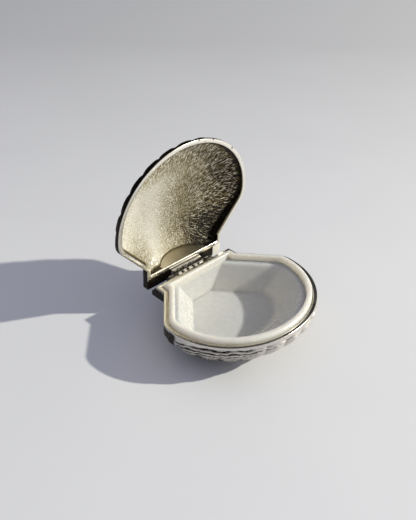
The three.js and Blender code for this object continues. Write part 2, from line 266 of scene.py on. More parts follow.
def outline(hinge=0.0, side=0.0, front=0.0, flank=None, eared=True,
            back_round=0.3 * MM, neck_round=0.6 * MM, corner_round=None):
    """The rim outline drawn in by the given insets, as a closed loop of (x, y).

    Every loop has the same count of points, and like points lie side by side.
    """
    sizes = bpy.context.scene.shell_sizes
    flank = front if flank is None else flank
    corner_round = sizes.corner_rounding if corner_round is None else corner_round
    reach = FLARE_REACH - side
    back = -hinge
    if eared:
        back_corner = np.array([HINGE_HALF - side, back])
        neck = np.array([back_corner[0], (reach - FLARE_OUT[0] * back_corner[0]) / FLARE_OUT[1]])
    else:
        shortest_ear = 0.5 * MM
        back_corner = np.array([(reach - FLARE_OUT[1] * back) / FLARE_OUT[0], back])
        neck = back_corner + FLARE * shortest_ear
    across = HALF_WIDTH - flank
    along = ARC_DEPTH - front
    a = FLARE_OUT[0] * across
    b = FLARE_OUT[1] * along
    lean = np.clip((reach - FLARE_OUT[1] * ARC_CENTRE_Y) / math.hypot(a, b), -1, 1)
    start = math.atan2(b, a) - math.acos(lean)
    turn = start + (-math.pi / 2 - start) * arc_shares()
    arc = np.stack([across * np.cos(turn), ARC_CENTRE_Y + along * np.sin(turn)], axis=1)
    corner = np.array([
        across * math.cos(start), ARC_CENTRE_Y + along * math.sin(start)
    ])
    middle = np.array([0.0, back])
    back_in = toward(back_corner, middle, back_round)
    back_out = toward(back_corner, neck, back_round)
    neck_in = toward(neck, back_corner, neck_round)
    neck_out = toward(neck, corner, neck_round)
    corner_in = toward(corner, neck, corner_round)
    half = np.concatenate([
        line(middle, back_in, BACK_STEPS),
        fillet(back_in, back_corner, back_out, FILLET_STEPS),
        line(back_out, neck_in, EAR_STEPS),
        fillet(neck_in, neck, neck_out, FILLET_STEPS),
        line(neck_out, corner_in, SIDE_STEPS),
        fillet(corner_in, corner, arc[0], FILLET_STEPS),
        arc,
    ])
    mirrored = half[-2:0:-1] * (-1, 1)
    return np.concatenate([half, mirrored])


def even_outline(inset, corner_round=None):
    """The rim outline drawn in by the same inset all round."""
    return outline(hinge=inset, side=inset, front=inset, corner_round=corner_round)


def toward_middle(loop, share):
    """A loop drawn in toward the middle of the shell."""
    centre = np.array([0.0, MID_Y])
    return centre + (loop - centre) * share


def at_height(loop, height):
    """A flat loop of (x, y) as points at one height, or at a height for each."""
    heights = np.broadcast_to(height, len(loop))
    return np.column_stack([loop, heights])


# The valves

def side_inset(x, y):
    return FLARE_REACH - FLARE_OUT[0] * np.abs(x) - FLARE_OUT[1] * y


def along_ray(x, y):
    """Share of the way from the umbo to the front edge."""
    angle = np.clip(np.arctan2(x, UMBO_Y - y), -FAN_HALF, FAN_HALF)
    return np.minimum(1, np.hypot(x, UMBO_Y - y) / front_reach(angle))


def shoulder(inset, width, power, root):
    """Rises from 0 at the edge to 1 once the inset reaches the width."""
    left = 1 - np.clip(inset / width, 0, 1)
    return (1 - left ** power) ** (1 / root)


def edge_height(valve, y):
    ear_share = np.clip((y - CORNER[1]) / (NECK[1] - CORNER[1]), 0, 1)
    corner_run = (CORNER[1] - (ARC_CENTRE_Y - ARC_DEPTH)) / 2
    band_share = np.clip((CORNER[1] - y) / corner_run, 0, 1)
    side = valve.corner + (valve.ear - valve.corner) * ear_share
    return side + (valve.band - side) * band_share


def height_at(valve, x, y):
    """Height of the smooth valve over the rim plane."""
    front = shoulder(1 - along_ray(x, y), 1 - valve.peak, *valve.front)
    sides = shoulder(side_inset(x, y), *valve.sides)
    back = shoulder(valve.back_y - y, *valve.back)
    edge = edge_height(valve, y)
    return np.minimum(valve.limit, edge + (valve.crown - edge) * front * sides * back)


def inside_rim(x, y, back_y):
    ax = np.abs(x)
    on_ear = ax <= HINGE_HALF
    on_side = FLARE_OUT[0] * ax + FLARE_OUT[1] * y <= FLARE_REACH
    on_arc = (ax / HALF_WIDTH) ** 2 + ((y - ARC_CENTRE_Y) / ARC_DEPTH) ** 2 <= 1
    inside = np.where(y > -EAR_LENGTH, on_ear, np.where(y > CORNER[1], on_side, on_arc))
    return inside & (y <= back_y)


def drawn_in(valve, x, y):
    """Height of the inner surface: the smooth dome drawn in by the wall in every direction."""
    wall = valve.wall
    probe_turns = 16
    lowest = height_at(valve, x, y) - wall
    for share in (0.35, 0.7, 0.97):
        drop = wall * math.sqrt(1 - share ** 2)
        for turn in np.arange(probe_turns) * 2 * math.pi / probe_turns:
            px = x + share * wall * math.cos(turn)
            py = y + share * wall * math.sin(turn)
            outside = np.where(inside_rim(px, py, valve.back_y), height_at(valve, px, py), 0)
            lowest = np.minimum(lowest, outside - drop)
    return lowest


def row_shares(valve):
    """Shares of the way to the rim, close together near it where the growth ridges are."""
    first_step = 0.08 * MM
    fine_step = valve.row_step
    coarse_step = 0.9 * MM
    fine_to = 17 * MM
    coarse_from = 34 * MM
    samples = 4000
    reach = 0.985
    crowding = 2.5
    share = 1 - np.linspace(0, reach, samples) ** crowding
    y = UMBO_Y - share * front_reach(0.0)
    height = height_at(valve, np.zeros_like(y), y)
    run = np.concatenate([[0], np.cumsum(np.hypot(np.diff(y), np.diff(height)))])
    shares = []
    at = first_step
    while at < run[-1]:
        shares.append(float(np.interp(at, run, share)))
        coarse = float(smooth_step(at, fine_to, coarse_from))
        at += fine_step + (coarse_step - fine_step) * coarse
    return np.array(shares[::-1])


def ridge_wander(x, y):
    """Slow unevenness that keeps the growth ridges from running quite even."""
    scale = 1 / (7 * MM)
    slice_height = 3.7
    return np.array([
        noise.noise(Vector((px * scale, py * scale, slice_height)))
        for px, py in zip(x.flat, y.flat)
    ]).reshape(x.shape)


def rib_phase(x, y):
    """Place across the fan in ribs: whole on a crest, 0 on the middle one."""
    rib_pitch = 2 * FAN_HALF / bpy.context.scene.shell_sizes.rib_count
    return np.arctan2(x, UMBO_Y - y) / rib_pitch


def relief_at(valve, x, y, run):
    """Height of the carving over the smooth valve, and how dark each point is painted: tarnish in
    the valleys and grooves, and painted shade on the left side and the ears.

    run is the distance to the rim along the surface.
    """
    sizes = bpy.context.scene.shell_sizes
    phase = rib_phase(x, y)
    half_fan = sizes.rib_count / 2
    inset = side_inset(x, y)
    along = along_ray(x, y)

    roundness = 0.97
    mean_round = 0.45
    off_crest = 2 * np.abs(phase - np.round(phase))
    arch = np.sqrt(np.maximum(0, 1 - (roundness * off_crest) ** 2))
    on_fan = (np.abs(phase) < half_fan) & (y < UMBO_Y)
    ribbed = smooth_step(along, 0.04, 0.75) * smooth_step(inset, 0, 3 * MM)
    ribbed = ribbed * smooth_step(run, 0.1 * MM, valve.rib_ease) * on_fan
    gain = 1 + (valve.rib_gain - 1) * (1 - smooth_step(run, 3 * MM, 12 * MM))
    ribs = gain * sizes.rib_height * (arch - mean_round)

    bow = 0.22
    unevenness = 0.5
    groove_width = 0.17
    swell_height = 0.45
    count = (run + valve.band) / sizes.ridge_pitch + bow * np.cos(2 * math.pi * phase)
    count = count + unevenness * ridge_wander(x, y)
    part = count - np.floor(count)
    groove = np.exp(-(np.minimum(part, 1 - part) / groove_width) ** 2)
    swell = np.sin(math.pi * part) ** 0.8
    ridges = sizes.ridge_depth * (swell_height * swell - groove)
    plain_strip = 0.45 * MM * smooth_step(x, -24 * MM, -10 * MM)
    ridged = smooth_step(run - plain_strip, 0.05 * MM, 0.6 * MM)
    ridged = ridged * (1 - 0.8 * smooth_step(run, 13 * MM, 27 * MM))
    ridged = ridged * smooth_step(inset, 0.2 * MM, 1.6 * MM) * smooth_step(along, 0.1, 0.4)
    ridged = ridged * (1 - smooth_step(np.abs(phase), half_fan - 1, half_fan - 0.7))

    above_foot = 1.0
    if valve.foot:
        off_foot = np.hypot(x / FOOT_HALF_WIDTH, (y - FOOT_Y) / FOOT_HALF_LENGTH)
        above_foot = smooth_step(off_foot, 0.95, 1.25)
    relief = above_foot * (ribbed * ribs + ridged * ridges)

    valley = 0.2 * smooth_step(off_crest, 0.72, 1.0) * ribbed
    # Painted shade: the left side, turned away from the key light, is painted darker, its grooves
    # most of all.
    old = 0.9 * smooth_step(-x, 10 * MM, 27 * MM)
    painted_left_shade = old * (0.3 + 0.9 * smooth_step(run, 4.5 * MM, 9 * MM))
    in_groove = ridged * groove * (0.6 + 1.4 * old)
    tarnish = above_foot * (np.clip(valley + in_groove, 0, 2) + painted_left_shade)
    return relief, np.maximum(tarnish, sides_tarnish_and_shade(x, y))


def sides_tarnish_and_shade(x, y):
    """How dark the ears and the strips beside the ribs are painted: partly tarnish, partly painted
    shade for the dark that the ears mirror; darkest on the ears, a little less beside the ribs.
    """
    ears_depth = 3
    beside_depth = 2.2
    half_fan = bpy.context.scene.shell_sizes.rib_count / 2
    phase = np.abs(rib_phase(x, y))
    beside = smooth_step(phase, half_fan - 0.9, half_fan - 0.6)
    ears = smooth_step(y, -11 * MM, -6 * MM) * (1 - smooth_step(side_inset(x, y), 3 * MM, 7 * MM))
    return np.maximum(beside_depth * beside, ears_depth * ears)


def carved_rows(valve, rim):
    """Rows of the carved outside, from near the umbo to the edge, and each point's tarnish."""
    umbo = np.array([0.0, UMBO_Y])
    shares = row_shares(valve)
    plan = umbo + (rim[None] - umbo) * shares[:, None, None]
    x, y = plan[..., 0], plan[..., 1]
    height = height_at(valve, x, y)
    step = 0.05 * MM
    steepest = 5
    slope_x = (height_at(valve, x + step, y) - height_at(valve, x - step, y)) / (2 * step)
    slope_y = (height_at(valve, x, y + step) - height_at(valve, x, y - step)) / (2 * step)
    steep = np.hypot(slope_x, slope_y)
    easing = np.minimum(1, steepest / np.maximum(steep, 1e-9))
    normal = np.stack([-slope_x * easing, -slope_y * easing, np.ones_like(x)], axis=-1)
    normal /= np.linalg.norm(normal, axis=-1, keepdims=True)
    points = np.concatenate([plan, height[..., None]], axis=-1)
    edge = at_height(rim, edge_height(valve, rim[:, 1]))
    outward = np.concatenate([points, edge[None]])
    strides = np.linalg.norm(np.diff(outward, axis=0), axis=-1)
    run = np.cumsum(strides[::-1], axis=0)[::-1]
    relief, cavity = relief_at(valve, x, y, run)
    points = points + normal * relief[..., None]
    if valve.foot:
        points[..., 2] = np.minimum(points[..., 2], valve.limit)
    return points, cavity


def rim_profile(valve):
    """The polished rim from its outer wall to its inner wall, as (inset, height) pairs.

    It is very slightly crowned, as a buffed edge is.
    """
    radius = bpy.context.scene.shell_sizes.rim_rounding
    crown = 0.07 * MM
    turns = np.linspace(0, math.pi / 2, 5)
    outer = [(radius * (1 - math.cos(t)), crown + radius * (1 - math.sin(t))) for t in turns]
    across = np.linspace(0, 1, 9)[1:-1]
    width = valve.rim - 2 * radius
    top = [(radius + width * t, crown * (1 - math.sin(math.pi * t))) for t in across]
    inner = [(valve.rim - inset, height) for inset, height in outer[::-1]]
    return outer, top + inner


BAND_ROWS = 3           # rows of the narrow band under the rim, on the outside


def rim_loops(valve):
    """Loops of the band, the rim and the flat or bevel behind the hinge edge."""
    outer, inner = rim_profile(valve)
    loops = []
    rim = outline(hinge=-valve.back_y)
    low = outer[0][1]
    edge = edge_height(valve, rim[:, 1])
    for i in range(BAND_ROWS):
        loops.append(at_height(rim, edge + (low - edge) * 0.3 * i))
    for inset, height in outer:
        loop = outline(hinge=inset - valve.back_y, side=inset, front=inset)
        loops.append(at_height(loop, height))
    last_inset, last_height = outer[-1]
    strip_steps = 7
    creep = 0.01 * MM
    strip_end = 0.02 * MM
    for i in range(1, strip_steps + 1):
        share = i / strip_steps
        inset = last_inset + creep * share
        behind = (inset - valve.back_y) * (1 - share) + strip_end * share
        loop = outline(hinge=behind, side=inset, front=inset)
        loops.append(at_height(loop, last_height))
    for inset, height in inner:
        loops.append(at_height(even_outline(inset), height))
    return loops


def under_ears(valve, x, y):
    """How high the lid's hollow may reach: low at the ears, an arch of wall between them.

    Even the lowest part clears the lip of the liner when the lid is shut.
    """
    arch_height = 9.8 * MM
    over_lip = 2.5 * MM
    rise = 1.25
    arch = arch_height * np.maximum(0, 1 - (x / ARCH_HALF) ** 2)
    return np.maximum(arch, over_lip) + rise * np.maximum(0, -valve.rim - y)


def lower_of(a, b, blend):
    """The lower of two heights, blended where they cross."""
    share = np.clip(0.5 + 0.5 * (b - a) / blend, 0, 1)
    return b * (1 - share) + a * share - blend * share * (1 - share)


def dome_rows(valve, mouth, rows, least):
    """Rows of the inner surface, from the mouth outline in to the middle."""
    centre = np.array([0.0, MID_Y])
    shares = 1 - np.linspace(0, 1, rows + 1)[:-1] ** 1.15
    plan = centre + (mouth[None] - centre) * shares[:, None, None]
    x, y = plan[..., 0], plan[..., 1]
    height = drawn_in(valve, x, y)
    if not valve.foot:
        height = lower_of(height, under_ears(valve, x, y), 2.5 * MM)
    height = np.maximum(least, height)
    return np.concatenate([plan, height[..., None]], axis=-1)


def middle_tips(valve):
    """The points that close the rows outside, at the umbo, and inside, over the floor."""
    middle = np.array(0.0)
    outside = float(height_at(valve, middle, np.array(UMBO_Y)))
    inside = float(drawn_in(valve, middle, np.array(MID_Y)))
    return (0, UMBO_Y, outside), (0, MID_Y, inside)


# Meshes

def mesh_from_loops(name, loops, first_tip, last_tip, slots, attributes):
    """Skins loops of equal point count, closes both ends and faces it outward.

    slots gives a material slot for each row of faces, attributes a value for each loop point.
    """
    loops = np.asarray(loops)
    rows, count, _ = loops.shape
    points = np.concatenate([loops.reshape(-1, 3), [first_tip], [last_tip]])
    i = np.arange(count)
    j = (i + 1) % count
    quads = np.concatenate([
        np.stack([k * count + i, k * count + j, (k + 1) * count + j, (k + 1) * count + i], axis=1)
        for k in range(rows - 1)
    ])
    first = rows * count
    last = first + 1
    top = (rows - 1) * count
    fans = [(first, int(b), int(a)) for a, b in zip(i, j)]
    fans += [(last, int(top + a), int(top + b)) for a, b in zip(i, j)]
    mesh = bpy.data.meshes.new(name)
    mesh.from_pydata(points.tolist(), [], quads.tolist() + fans)
    face_slots = np.concatenate([
        np.repeat(slots, count), np.full(count, slots[0]), np.full(count, slots[-1])
    ]).astype(np.int32)
    mesh.polygons.foreach_set("material_index", face_slots)
    for key, values in attributes.items():
        values = np.asarray(values, dtype=np.float32)
        if values.ndim == 2:
            full = np.concatenate([values.ravel(), [0, 0]]).astype(np.float32)
            mesh.attributes.new(key, "FLOAT", "POINT").data.foreach_set("value", full)
        else:
            full = np.concatenate([values.reshape(-1, 3), np.zeros((2, 3))])
            mesh.attributes.new(key, "FLOAT_VECTOR", "POINT").data.foreach_set(
                "vector", full.astype(np.float32).ravel())
    work = bmesh.new()
    work.from_mesh(mesh)
    if work.calc_volume(signed=True) < 0:
        bmesh.ops.reverse_faces(work, faces=work.faces)
    work.to_mesh(mesh)
    work.free()
    return mesh


def add_object(name, mesh):
    piece = bpy.data.objects.new(name, mesh)
    bpy.context.scene.collection.objects.link(piece)
    return piece


def flip_over(mesh):
    """Turns a dome built upward into the base, and keeps its faces outward."""
    mesh.transform(Matrix.Diagonal((1, 1, -1, 1)))
    mesh.flip_normals()


def cut_off(mesh, point, normal):
    """Cuts away what lies beyond a plane, and caps the cut."""
    work = bmesh.new()
    work.from_mesh(mesh)
    everything = work.verts[:] + work.edges[:] + work.faces[:]
    cut = bmesh.ops.bisect_plane(
        work, geom=everything, plane_co=point, plane_no=normal, clear_outer=True)
    rim = [e for e in cut["geom_cut"] if isinstance(e, bmesh.types.BMEdge)]
    bmesh.ops.contextual_create(work, geom=rim)
    work.to_mesh(mesh)
    work.free()


def join_or_cut(piece, tool, operation):
    """Joins a small solid to a piece, or cuts it out, and removes the small solid."""
    cut = piece.modifiers.new("cut", "BOOLEAN")
    cut.operation = operation
    cut.solver = "EXACT"
    cut.object = tool
    seen = piece.evaluated_get(bpy.context.evaluated_depsgraph_get())
    result = bpy.data.meshes.new_from_object(seen)
    piece.modifiers.remove(cut)
    old = piece.data
    piece.data = result
    result.name = old.name
    bpy.data.meshes.remove(old)
    bpy.data.objects.remove(tool)


def rod(name, radius, x0, x1, sides=48, wobble=0.0, dome=0.0):
    """A rod along the hinge axis, with an uneven cast skin and domed ends where asked."""
    stations = np.linspace(x0, x1, 25)
    turns = np.arange(sides) * 2 * math.pi / sides
    ease = 0.14 * MM
    rings = []
    for x in stations:
        end = min(x - x0, x1 - x)
        r = radius - ease * (1 - smooth_step(end, 0, ease * 2))
        lumps = np.array([
            noise.noise(Vector((x / MM * 0.7, math.cos(t) * 1.6, math.sin(t) * 1.6))) for t in turns
        ])
        r = r + wobble * (lumps - 0.35)
        rings.append(np.column_stack([
            np.full(sides, x), HINGE_Y + r * np.cos(turns), HINGE_Z + r * np.sin(turns)
        ]))
    tips = (x0 - dome, HINGE_Y, HINGE_Z), (x1 + dome, HINGE_Y, HINGE_Z)
    mesh = mesh_from_loops(name, rings, *tips, [0] * (len(stations) - 1), {})
    return add_object(name, mesh)


def prism(name, section, x0, x1, soft=0.0):
    """A prism along X from a list of (y, z), with its edges softened."""
    count = len(section)
    points = [(x, y, z) for x in (x0, x1) for y, z in section]
    ring = [(i, (i + 1) % count) for i in range(count)]
    faces = [list(range(count))[::-1], [count + i for i in range(count)]]
    faces += [(a, b, count + b, count + a) for a, b in ring]
    mesh = bpy.data.meshes.new(name)
    mesh.from_pydata(points, [], faces)
    work = bmesh.new()
    work.from_mesh(mesh)
    if soft:
        bmesh.ops.bevel(work, geom=work.edges[:], offset=soft, segments=3, profile=0.5,
                        affect="EDGES")
    bmesh.ops.recalc_face_normals(work, faces=work.faces)
    work.to_mesh(mesh)
    work.free()
    return add_object(name, mesh)


def add_barrel(piece, x0, x1):
    """Joins a bored barrel of the hinge to a piece."""
    barrel = rod("barrel", BARREL_RADIUS, x0, x1, wobble=0.06 * MM)
    bore = rod("bore", BORE_RADIUS, x0 - PAST, x1 + PAST)
    join_or_cut(barrel, bore, "DIFFERENCE")
    join_or_cut(piece, barrel, "UNION")


def add_arm(piece, section, x0, x1):
    """Joins the arm that carries a barrel to a piece."""
    arm = prism("arm", section, x0 + ARM_INSET, x1 - ARM_INSET, soft=ARM_ROUNDING)
    join_or_cut(piece, arm, "UNION")


def finish_piece(piece, materials, sharp_degrees=38):
    """Gives the piece its materials and smooth shading with crisp edges."""
    mesh = piece.data
    slots = np.zeros(len(mesh.polygons), dtype=np.int32)
    mesh.polygons.foreach_get("material_index", slots)
    mesh.materials.clear()
    for material in materials:
        mesh.materials.append(material)
    mesh.polygons.foreach_set("material_index", slots)
    mesh.shade_smooth()
    mesh.set_sharp_from_angle(angle=math.radians(sharp_degrees))
    mesh.update()


def open_lid():
    """The move that stands the closed lid open about the hinge."""
    axis = Vector((0, HINGE_Y, HINGE_Z))
    turn = Matrix.Rotation(-OPEN_ANGLE, 4, "X")
    return TO_OBJECT @ Matrix.Translation(axis) @ turn @ Matrix.Translation(-axis)


# Node groups

FLOAT = "NodeSocketFloat"
VECTOR = "NodeSocketVector"
COLOUR = "NodeSocketColor"


def add_node(tree, kind, place=(0, 0), **settings):
    node = tree.nodes.new(kind)
    node.location = place
    for key, value in settings.items():
        setattr(node, key, value)
    return node


def new_group(name, inputs, outputs):
    """A shader node group with named sockets, as (tree, input node, output node)."""
    tree = bpy.data.node_groups.new(name, "ShaderNodeTree")
    for title, kind, default in inputs:
        socket = tree.interface.new_socket(name=title, in_out="INPUT", socket_type=kind)
        if default is not None:
            socket.default_value = default
    for title, kind in outputs:
        tree.interface.new_socket(name=title, in_out="OUTPUT", socket_type=kind)
    start = add_node(tree, "NodeGroupInput", (-900, 0))
    end = add_node(tree, "NodeGroupOutput", (600, 0))
    return tree, start, end


def mapped(tree, value, low, high, to_low, to_high, place=(0, 0)):
    node = add_node(tree, "ShaderNodeMapRange", place, clamp=True)
    tree.links.new(value, node.inputs["Value"])
    limits = {"From Min": low, "From Max": high, "To Min": to_low, "To Max": to_high}
    for key, limit in limits.items():
        node.inputs[key].default_value = limit
    return node.outputs["Result"]


def combined(tree, operation, a, b, place=(0, 0), clamp=False):
    node = add_node(tree, "ShaderNodeMath", place, operation=operation, use_clamp=clamp)
    for socket, value in zip(node.inputs, (a, b)):
        if isinstance(value, (int, float)):
            socket.default_value = value
        else:
            tree.links.new(value, socket)
    return node.outputs[0]


def noise_value(tree, vector, scale, detail=3.0, roughness=0.55, distortion=0.0, place=(0, 0)):
    node = add_node(tree, "ShaderNodeTexNoise", place)
    tree.links.new(vector, node.inputs["Vector"])
    node.inputs["Scale"].default_value = scale
    node.inputs["Detail"].default_value = detail
    node.inputs["Roughness"].default_value = roughness
    node.inputs["Distortion"].default_value = distortion
    return node.outputs["Fac"]


def cast_skin_group():
    """Fine unevenness of a cast and plated surface: a height, and a patchy tone."""
    tree, start, end = new_group(
        "Cast skin", [("Vector", VECTOR, None), ("Grain per metre", FLOAT, 2500.0)],
        [("Height", FLOAT), ("Tone", FLOAT)])
    fine = add_node(tree, "ShaderNodeVectorMath", (-700, 100), operation="SCALE")
    tree.links.new(start.outputs["Vector"], fine.inputs[0])
    tree.links.new(start.outputs["Grain per metre"], fine.inputs["Scale"])
    grains = noise_value(tree, fine.outputs[0], 1.0, detail=2.0, place=(-450, 100))
    lumps = noise_value(tree, fine.outputs[0], 0.22, detail=2.0, place=(-450, -150))
    low_grains = combined(tree, "MULTIPLY", grains, 0.4, (-200, 100))
    height = combined(tree, "ADD", low_grains, lumps, (0, 100))
    tone = noise_value(tree, start.outputs["Vector"], 140.0, detail=4.0, place=(-450, -400))
    tree.links.new(height, end.inputs["Height"])
    tree.links.new(tone, end.inputs["Tone"])
    return tree


def tarnish_group():
    """Where the plate is dark: tarnish in the valleys and in loose specks, and painted shade
    wherever the cavity carries it.
    """
    tree, start, end = new_group(
        "Tarnish",
        [("Vector", VECTOR, None), ("Cavity", FLOAT, 0.0), ("Specks", FLOAT, 0.2)],
        [("Mask", FLOAT)])
    patchy = noise_value(tree, start.outputs["Vector"], 900.0, detail=3.0, place=(-700, -100))
    broken = mapped(tree, patchy, 0.35, 0.62, 0.35, 1.0, (-450, -100))
    deep = combined(tree, "MULTIPLY", start.outputs["Cavity"], broken, (-200, 100))
    speck_noise = noise_value(tree, start.outputs["Vector"], 2400.0, detail=2.0, place=(-700, -350))
    specks = mapped(tree, speck_noise, 0.62, 0.7, 0.0, 1.0, (-450, -350))
    specks = combined(tree, "MULTIPLY", specks, start.outputs["Specks"], (-200, -350))
    mask = combined(tree, "MAXIMUM", deep, specks, (200, 0), clamp=True)
    tree.links.new(mask, end.inputs["Mask"])
    return tree


def strokes_group():
    """Short strokes of a brushed and hammered finish, running out from the middle."""
    tree, start, end = new_group(
        "Strokes",
        [("Vector", VECTOR, None), ("Brush", VECTOR, None), ("Outer", FLOAT, 0.5)],
        [("Height", FLOAT)])
    radial = noise_value(tree, start.outputs["Brush"], 1.0, detail=1.5, roughness=0.6,
                         distortion=0.5, place=(-600, 200))
    curls = noise_value(tree, start.outputs["Vector"], 1700.0, detail=1.5, roughness=0.6,
                        distortion=1.6, place=(-600, -150))
    blend = add_node(tree, "ShaderNodeMix", (-200, 0), data_type="FLOAT")
    tree.links.new(start.outputs["Outer"], blend.inputs[0])
    tree.links.new(curls, blend.inputs[2])
    tree.links.new(radial, blend.inputs[3])
    height = mapped(tree, blend.outputs[0], 0.39, 0.61, 0.0, 1.0, (100, 0))
    tree.links.new(height, end.inputs["Height"])
    return tree


def shared_group(make, name):
    """The named node group, built the first time that a finish asks for it."""
    return bpy.data.node_groups.get(name) or make()


# Finishes

class Finish:
    """A material being put together around one Principled shader."""

    def __init__(self, name, metallic, roughness, **plain):
        self.material = bpy.data.materials.new(name)
        self.material.use_nodes = True
        self.tree = self.material.node_tree
        self.shader = self.tree.nodes["Principled BSDF"]
        self.shader.inputs["Metallic"].default_value = metallic
        self.shader.inputs["Roughness"].default_value = roughness
        for title, value in plain.items():
            self.shader.inputs[title.replace("_", " ")].default_value = value
        self.place = add_node(self.tree, "ShaderNodeTexCoord", (-1500, 0)).outputs["Object"]

    def group(self, make, name, place, **values):
        node = add_node(self.tree, "ShaderNodeGroup", place,
                        node_tree=shared_group(make, name))
        self.tree.links.new(self.place, node.inputs["Vector"])
        for title, value in values.items():
            socket = node.inputs[title.replace("_", " ")]
            if isinstance(value, (int, float)):
                socket.default_value = value
            else:
                self.tree.links.new(value, socket)
        return node

    def cast_skin(self, grains_per_metre):
        """The height and the patchy tone of a cast skin."""
        node = self.group(cast_skin_group, "Cast skin", (-1000, -200),
                          Grain_per_metre=grains_per_metre)
        return node.outputs["Height"], node.outputs["Tone"]

    def attribute(self, name, output="Fac", place=(-1300, -300)):
        node = add_node(self.tree, "ShaderNodeAttribute", place, attribute_name=name)
        return node.outputs[output]

    def mix_colour(self, factor, a, b, place=(-500, 200)):
        node = add_node(self.tree, "ShaderNodeMix", place, data_type="RGBA")
        self.tree.links.new(factor, node.inputs[0])
        for socket, value in zip((node.inputs[6], node.inputs[7]), (a, b)):
            if hasattr(value, "links"):
                self.tree.links.new(value, socket)
            else:
                socket.default_value = (*value, 1)
        return node.outputs[2]

    def bump(self, height, distance):
        node = add_node(self.tree, "ShaderNodeBump", (-300, -300))
        node.inputs["Distance"].default_value = distance
        node.inputs["Strength"].default_value = 1.0
        self.tree.links.new(height, node.inputs["Height"])
        return node.outputs["Normal"]

    def wire(self, **sockets):
        for title, value in sockets.items():
            self.tree.links.new(value, self.shader.inputs[title.replace("_", " ")])
        return self.material


def carved_plate(colours):
    """Plated casting of the outside: bright on the crests, dark in the valleys, and painted dark
    where the cavity attribute carries painted shade.
    """
    finish = Finish("carved_plate", 0.85, 0.5)
    height, tone = finish.cast_skin(2600.0)
    tarnish = finish.group(tarnish_group, "Tarnish", (-1000, 200),
                           Cavity=finish.attribute("cavity"), Specks=0.45)
    colour = finish.mix_colour(tarnish.outputs["Mask"], colours.worn, colours.patina)
    roughness = mapped(finish.tree, tone, 0.3, 0.7, 0.38, 0.55, (-600, -100))
    normal = finish.bump(height, 0.08 * MM)
    return finish.wire(Base_Color=colour, Roughness=roughness, Normal=normal)


def rim_plate(colours):
    """Buffed plate of the rims, with a few pits worn through it."""
    finish = Finish("rim_plate", 1.0, 0.2)
    tree = finish.tree
    height, tone = finish.cast_skin(900.0)
    pit_noise = noise_value(tree, finish.place, 620.0, detail=1.0, place=(-1000, 300))
    pits = mapped(tree, pit_noise, 0.735, 0.76, 0.0, 1.0, (-750, 300))
    pits = combined(tree, "MAXIMUM", pits, finish.attribute("speck"), (-600, 300), clamp=True)
    colour = finish.mix_colour(pits, colours.plate, colours.patina)
    roughness = mapped(tree, tone, 0.3, 0.7, 0.22, 0.38, (-600, -100))
    normal = finish.bump(height, 0.012 * MM)
    return finish.wire(Base_Color=colour, Roughness=roughness, Normal=normal)


def tarnished_group(clean):
    """Plate under a depth of tarnish and painted shade: pale where thin, brown and then black where
    deep.

    Blue fades fastest with depth, so that thin tarnish looks gilt.
    """
    tree, start, end = new_group("Tarnished", [("Depth", FLOAT, 0.0)], [("Colour", COLOUR)])
    whole = add_node(tree, "ShaderNodeCombineColor", (300, 0))
    fading = (0.88, 1.0, 1.4)
    for i, (channel, fade) in enumerate(zip(clean, fading)):
        kept = combined(tree, "POWER", math.exp(-fade), start.outputs["Depth"], (-200, -150 * i))
        tinted = combined(tree, "MULTIPLY", kept, channel, (0, -150 * i))
        tree.links.new(tinted, whole.inputs[i])
    tree.links.new(whole.outputs[0], end.inputs["Colour"])
    return tree


def brushed_plate(colours):
    """Inside of the lid: short bright strokes on a ground that darkens as the tarnish and the
    painted shade deepen.
    """
    finish = Finish("brushed_plate", 0.35, 0.5)
    tree = finish.tree
    strokes = finish.group(
        strokes_group, "Strokes", (-1000, -300),
        Brush=finish.attribute("brush", "Vector", (-1300, -500)),
        Outer=finish.attribute("outer", "Fac", (-1300, -700)))
    height = strokes.outputs["Height"]
    ground = mapped(tree, height, 0.0, 1.0, 2.9, 0.1, (-750, 100))
    cloud = noise_value(tree, finish.place, 60.0, detail=2.0, place=(-1000, 500))
    film = mapped(tree, cloud, 0.35, 0.7, 0.06, 0.2, (-750, 500))
    # Painted shade: the tarnish attribute is least at the lower left and deepest at the lower right
    # of the lid.
    old = finish.attribute("tarnish", "Fac", (-1300, 600))
    film = combined(tree, "ADD", film, old, (-600, 500))
    depth = combined(tree, "MULTIPLY", film, ground, (-450, 300))
    # Painted shade in the wall of the hollow, from the cavity attribute.
    walls = combined(tree, "MULTIPLY", finish.attribute("cavity"), 3.0, (-450, 0))
    depth = combined(tree, "ADD", depth, walls, (-350, 200))
    tarnished = add_node(tree, "ShaderNodeGroup", (-200, 200),
                         node_tree=tarnished_group(colours.brushed))
    tree.links.new(depth, tarnished.inputs["Depth"])
    roughness = mapped(tree, height, 0.0, 1.0, 0.6, 0.42, (-600, -100))
    normal = finish.bump(height, 0.2 * MM)
    return finish.wire(
        Base_Color=tarnished.outputs["Colour"], Roughness=roughness, Normal=normal)


def satin_plate(colours):
    """Smooth walls inside the shells, a little dull."""
    finish = Finish("satin_plate", 1.0, 0.33)
    height, tone = finish.cast_skin(1300.0)
    dull = mapped(finish.tree, tone, 0.35, 0.7, 0.1, 0.55, (-700, 200))
    colour = finish.mix_colour(dull, colours.plate, colours.gilt)
    return finish.wire(Base_Color=colour, Normal=finish.bump(height, 0.02 * MM))


def painted_shade_strip(colours):
    """Unpolished strip behind the lid's hinge edge, painted nearly black as painted shade of the
    hinge recess.
    """
    finish = Finish("painted_shade_strip", 1.0, 0.4)
    height, _ = finish.cast_skin(1500.0)
    flecks = noise_value(finish.tree, finish.place, 1500.0, detail=2.0, place=(-1000, 300))
    bright = mapped(finish.tree, flecks, 0.66, 0.76, 0.0, 0.6, (-750, 300))
    colour = finish.mix_colour(bright, colours.patina, colours.plate)
    return finish.wire(Base_Color=colour, Normal=finish.bump(height, 0.07 * MM))


